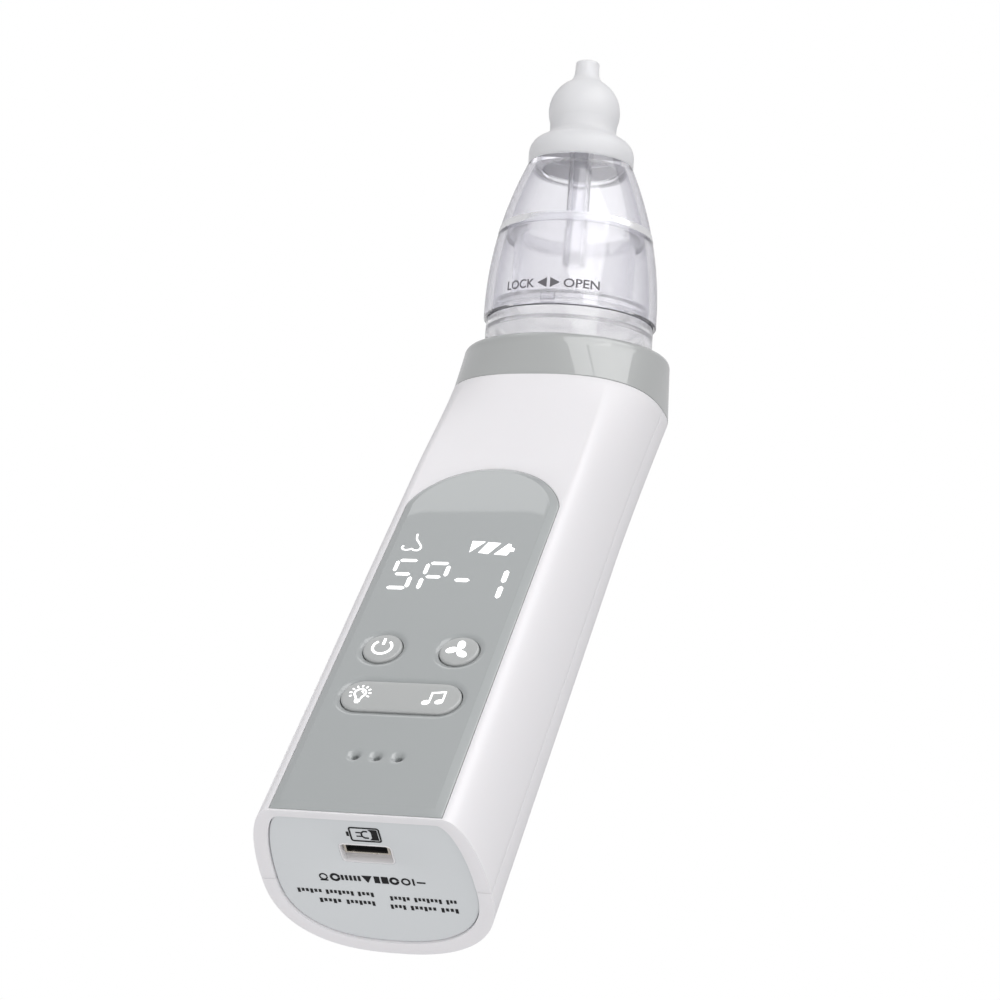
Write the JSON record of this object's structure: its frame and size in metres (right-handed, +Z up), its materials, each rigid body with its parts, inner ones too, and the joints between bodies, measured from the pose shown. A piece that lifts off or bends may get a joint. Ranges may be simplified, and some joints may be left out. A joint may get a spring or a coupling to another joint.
{
  "type": "nasal aspirator",
  "caption": "Cordless bent-neck nasal aspirator with a clear twist-off collection cup, a soft bulb nozzle, a lit panel with keys and a small charging socket.",
  "frame": {"origin": "centre of the handle's base, on the plane it stands on", "axes": "+Z up the handle, -Y out of the panel, +X to the right of someone facing the panel"},
  "size_m": [0.0402, 0.0637, 0.1805],
  "materials": {
    "shell_white": "soft satin white plastic",
    "collar_grey": "satin grey plastic",
    "panel_grey": "smooth mid grey plastic",
    "base_grey": "light grey plastic",
    "clear_plastic": "clear moulded plastic",
    "silicone": "milky soft silicone",
    "steel": "plain steel",
    "usb_metal": "warm plated steel",
    "black_plastic": "black plastic",
    "board_green": "solder masked board",
    "display_white": "white display body",
    "white_plastic": "white moulded plastic",
    "cell_blue": "printed film sleeve",
    "red_wire": "wire insulation",
    "black_rubber": "black rubber",
    "foam_grey": "open foam",
    "led_yellow": "lamp body"
  },
  "bodies": {
    "casing": {"front_shell": "shell_white", "rear_shell": "shell_white", "base_plate": "base_grey", "front_panel": "panel_grey", "collar": "collar_grey", "case_screws": "steel", "main_board": "board_green", "board_screws": "steel", "board_chips": "black_plastic", "display_module": "display_white", "switch_housings": "steel", "speaker": "black_plastic", "usb_shell": "usb_metal", "usb_tongue": "black_plastic", "inner_frame": "white_plastic", "battery_cell": "steel", "battery_sleeve": "cell_blue", "battery_leads": "red_wire", "motor_can": "steel", "motor_end_cap": "black_plastic", "motor_leads": "red_wire", "motor_mount": "black_rubber", "pump_housing": "black_plastic", "diaphragm": "black_rubber", "valve_plate": "white_plastic", "valve_flaps": "black_rubber", "pump_cover": "black_plastic", "pump_screws": "steel", "suction_hose": "silicone", "muffler_foam": "foam_grey", "suction_port": "white_plastic", "light_ring_board": "board_green", "night_leds": "led_yellow", "filter_sponge": "foam_grey"},
    "power_button": {"power_key": "panel_grey", "power_plunger": "black_plastic"},
    "speed_button": {"speed_key": "panel_grey", "speed_plunger": "black_plastic"},
    "rocker": {"rocker_key": "panel_grey"},
    "light_switch": {"light_plunger": "black_plastic"},
    "music_switch": {"music_plunger": "black_plastic"},
    "crank": {"motor_shaft": "steel", "crank_hub": "white_plastic", "crank_pin": "steel"},
    "wobbler": {"wobble_plate": "white_plastic"},
    "liner": {"inner_cup": "clear_plastic", "seat_oring": "silicone", "cup_gasket": "silicone"},
    "bell": {"cup_bell": "clear_plastic"},
    "tip": {"nozzle": "silicone"}
  },
  "joints": [
    {"name": "power_press", "type": "slide", "parent": "casing", "child": "power_button", "axis": [0, 1, 0], "range_m": [0, 0.0003], "stiffness_N_per_m": 600},
    {"name": "speed_press", "type": "slide", "parent": "casing", "child": "speed_button", "axis": [0, 1, 0], "range_m": [0, 0.0003], "stiffness_N_per_m": 600},
    {"name": "rocker_tilt", "type": "hinge", "parent": "casing", "child": "rocker", "pos_m": [0, -0.0127, 0.0256], "axis": [0, 0, 1], "range_deg": [-2, 2]},
    {"name": "light_press", "type": "slide", "parent": "casing", "child": "light_switch", "axis": [0, 1, 0], "range_m": [-0.00026, 0.00026]},
    {"name": "music_press", "type": "slide", "parent": "casing", "child": "music_switch", "axis": [0, 1, 0], "range_m": [-0.00026, 0.00026]},
    {"name": "motor_spin", "type": "hinge", "parent": "casing", "child": "crank", "pos_m": [0, 0.0025, 0.0887], "axis": [0, 0, 1], "continuous": true},
    {"name": "plate_wobble", "type": "hinge", "parent": "crank", "child": "wobbler", "pos_m": [0, 0.0025, 0.0926], "axis": [0.1219, 0, 0.9925], "continuous": true},
    {"name": "cup_pull", "type": "slide", "parent": "casing", "child": "liner", "axis": [0, -0.6561, 0.7547], "range_m": [0, 0.03]},
    {"name": "bell_twist", "type": "hinge", "parent": "liner", "child": "bell", "pos_m": [0, -0.0117, 0.13972], "axis": [0, -0.6561, 0.7547], "range_deg": [0, 25]},
    {"name": "nozzle_pull", "type": "slide", "parent": "bell", "child": "tip", "axis": [0, -0.6561, 0.7547], "range_m": [0, 0.014]}
  ],
  "couplings": [
    {"joint": "light_press", "follows": "rocker_tilt", "m_per_rad": -0.007},
    {"joint": "music_press", "follows": "rocker_tilt", "m_per_rad": 0.007},
    {"joint": "plate_wobble", "follows": "motor_spin", "ratio": -1}
  ]
}
